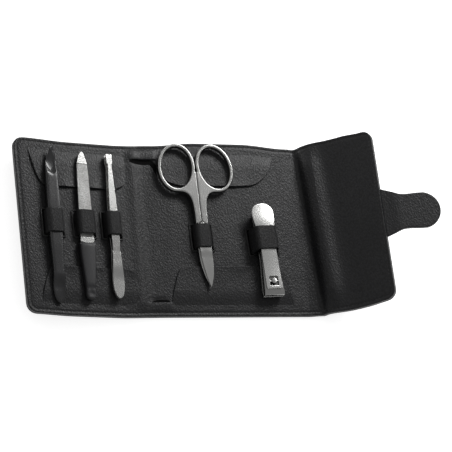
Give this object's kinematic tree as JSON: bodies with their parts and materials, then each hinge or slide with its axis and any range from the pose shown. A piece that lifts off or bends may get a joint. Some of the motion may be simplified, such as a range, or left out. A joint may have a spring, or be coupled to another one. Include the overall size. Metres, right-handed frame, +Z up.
{
  "type": "manicure set case",
  "caption": "Folding leather case with a magnetic strap, holding scissors, nail clipper, tweezers, nail file and cuticle pusher in loops.",
  "frame": {"origin": "centre of the middle panel's outer face, on the surface it lies on", "axes": "+X across the case towards the flap and strap, +Y along the folds towards the scissors' rings, +Z up"},
  "size_m": [0.2502, 0.107, 0.0423],
  "materials": {
    "outer_leather": "black pebble-grain leather, semi-matte",
    "lining_leather": "black soft-grain lining leather, semi-matte",
    "loop_leather": "black smooth leather, semi-matte",
    "board": "brown fibreboard",
    "magnet": "nickel-plated magnet",
    "satin_steel": "satin stainless steel",
    "polished_steel": "polished stainless steel",
    "dark_steel": "black coated steel with a soft sheen",
    "file_grit": "grit-faced steel",
    "handle_plastic": "matte black moulded handle"
  },
  "bodies": {
    "middle_panel": {"middle_outer_leather": "outer_leather", "middle_board": "board", "middle_lining": "lining_leather", "middle_top_flap": "lining_leather", "middle_lower_flap": "lining_leather", "scissors_loop": "loop_leather", "clipper_loop": "loop_leather"},
    "left_spine": {"left_spine_leather": "outer_leather", "left_spine_lining": "lining_leather"},
    "left_panel": {"left_outer_leather": "outer_leather", "left_board": "board", "left_lining": "lining_leather", "left_top_flap": "lining_leather", "left_lower_flap": "lining_leather", "keeper_magnet": "magnet", "pusher_loop": "loop_leather", "file_loop": "loop_leather", "tweezers_loop": "loop_leather"},
    "right_spine": {"right_spine_leather": "outer_leather", "right_spine_lining": "lining_leather"},
    "flap": {"flap_outer_leather": "outer_leather", "flap_board": "board", "flap_lining": "lining_leather"},
    "strap": {"strap_outer_leather": "outer_leather", "strap_inner_leather": "lining_leather", "strap_magnet": "magnet"},
    "pusher": {"cuticle_pusher": "dark_steel"},
    "file": {"file_blade": "file_grit", "file_handle": "handle_plastic"},
    "tweezers": {"tweezers_lower_arm": "satin_steel"},
    "tweezers_arm": {"tweezers_upper_arm": "satin_steel"},
    "scissors": {"scissors_screw": "polished_steel"},
    "scissors_left": {"scissors_left_half": "satin_steel"},
    "scissors_right": {"scissors_right_half": "satin_steel"},
    "clipper": {"clipper_lower_jaw": "satin_steel", "clipper_rivet": "satin_steel"},
    "clipper_jaw": {"clipper_upper_jaw": "satin_steel"},
    "lever": {"clipper_lever": "polished_steel", "clipper_post": "polished_steel", "clipper_pin": "satin_steel"}
  },
  "joints": [
    {"name": "left_spine_fold", "type": "hinge", "parent": "middle_panel", "child": "left_spine", "pos_m": [-0.0441, 0, 0.0032], "axis": [0, 1, 0], "range_deg": [0, 90]},
    {"name": "left_panel_fold", "type": "hinge", "parent": "left_spine", "child": "left_panel", "pos_m": [-0.0551, 0, 0.0032], "axis": [0, 1, 0], "range_deg": [-6.6, 77.4]},
    {"name": "right_spine_fold", "type": "hinge", "parent": "middle_panel", "child": "right_spine", "pos_m": [0.0441, 0, 0.0032], "axis": [0, -1, 0], "range_deg": [-20, 56]},
    {"name": "flap_fold", "type": "hinge", "parent": "right_spine", "child": "flap", "pos_m": [0.06424, 0, 0.01678], "axis": [0, -1, 0], "range_deg": [-10, 86]},
    {"name": "strap_fold", "type": "hinge", "parent": "flap", "child": "strap", "pos_m": [0.08516, 0, 0.03254], "axis": [0, -1, 0], "range_deg": [0, 33.5]},
    {"name": "pusher_slide", "type": "slide", "parent": "left_panel", "child": "pusher", "axis": [0.0156, 0.9999, -0.0018], "range_m": [0, 0.055]},
    {"name": "file_slide", "type": "slide", "parent": "left_panel", "child": "file", "axis": [-0.0277, -0.9996, 0.0032], "range_m": [0, 0.053]},
    {"name": "tweezers_slide", "type": "slide", "parent": "left_panel", "child": "tweezers", "axis": [0.0208, 0.9998, -0.0024], "range_m": [0, 0.053]},
    {"name": "tweezers_squeeze", "type": "hinge", "parent": "tweezers", "child": "tweezers_arm", "pos_m": [-0.0762, -0.03399, 0.00886], "axis": [-0.9932, 0.0209, 0.1149], "range_deg": [0, 1.2], "stiffness_Nm_per_rad": 1.2},
    {"name": "scissors_slide", "type": "slide", "parent": "middle_panel", "child": "scissors", "axis": [0, 1, 0], "range_m": [0, 0.06]},
    {"name": "scissors_left_open", "type": "hinge", "parent": "scissors", "child": "scissors_left", "pos_m": [-0.02035, -0.004, 0.0044], "axis": [0, 0, 1], "range_deg": [0, 20], "deforming": ["scissors_loop"]},
    {"name": "scissors_right_open", "type": "hinge", "parent": "scissors", "child": "scissors_right", "pos_m": [-0.02035, -0.004, 0.0044], "axis": [0, 0, 1], "range_deg": [-20, 0]},
    {"name": "clipper_slide", "type": "slide", "parent": "middle_panel", "child": "clipper", "axis": [-0.0384, 0.9993, 0], "range_m": [0, 0.045]},
    {"name": "clipper_press", "type": "hinge", "parent": "clipper", "child": "clipper_jaw", "pos_m": [0.01683, 0.00297, 0.0063], "axis": [0.9993, 0.0384, 0], "range_deg": [0, 0.8], "stiffness_Nm_per_rad": 3},
    {"name": "lever_turn", "type": "hinge", "parent": "clipper", "child": "lever", "pos_m": [0.01828, -0.03471, 0.0044], "axis": [0, 0, 1], "range_deg": [0, 180], "deforming": ["clipper_loop"]}
  ],
  "couplings": [
    {"joint": "scissors_right_open", "follows": "scissors_left_open", "ratio": -1}
  ]
}
